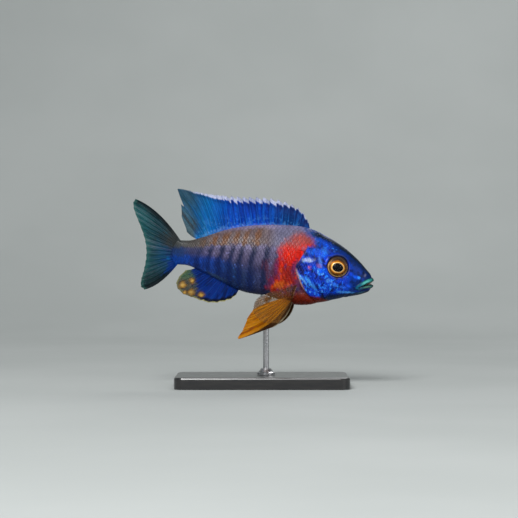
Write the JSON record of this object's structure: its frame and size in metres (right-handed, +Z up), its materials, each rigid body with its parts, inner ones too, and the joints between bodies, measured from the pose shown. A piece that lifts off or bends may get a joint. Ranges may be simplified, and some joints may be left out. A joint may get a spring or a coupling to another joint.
{
  "type": "peacock cichlid model",
  "caption": "Life-size still model of a male peacock cichlid swimming head slightly down, fins spread, on a flat base and a slim rod.",
  "frame": {"origin": "centre of the stand base's underside", "axes": "+X along the way the fish heads, +Y to the fish's left, +Z up"},
  "size_m": [0.1233, 0.054, 0.1011],
  "materials": {
    "blue_skin": "wet, fine-scaled skin, royal blue with paler speckles",
    "barred_skin": "scaled skin, red collar behind the head, then lavender and slate bars",
    "eye": "wet, gold iris with a black pupil",
    "blue_fin": "rayed membrane, blue with a pale edge",
    "teal_fin": "rayed, half clear membrane, dusky teal",
    "orange_fin": "rayed, half clear membrane, orange with a dark leading edge",
    "clear_fin": "rayed, clear membrane, pale tan",
    "stand_wood": "black satin lacquer",
    "stand_steel": "brushed"
  },
  "bodies": {
    "root": {"head": "blue_skin", "lower_jaw": "blue_skin", "gill_cover_right": "blue_skin", "gill_cover_left": "blue_skin", "torso": "barred_skin", "tail_stalk": "barred_skin", "eye_right": "eye", "eye_left": "eye", "dorsal_fin": "blue_fin", "caudal_fin": "teal_fin", "anal_fin": "blue_fin", "pelvic_fin_right": "orange_fin", "pelvic_fin_left": "orange_fin", "pectoral_fin_right": "clear_fin", "pectoral_fin_left": "clear_fin", "stand_base": "stand_wood", "stand_rod": "stand_steel", "stand_collar": "stand_steel"}
  },
  "joints": []
}
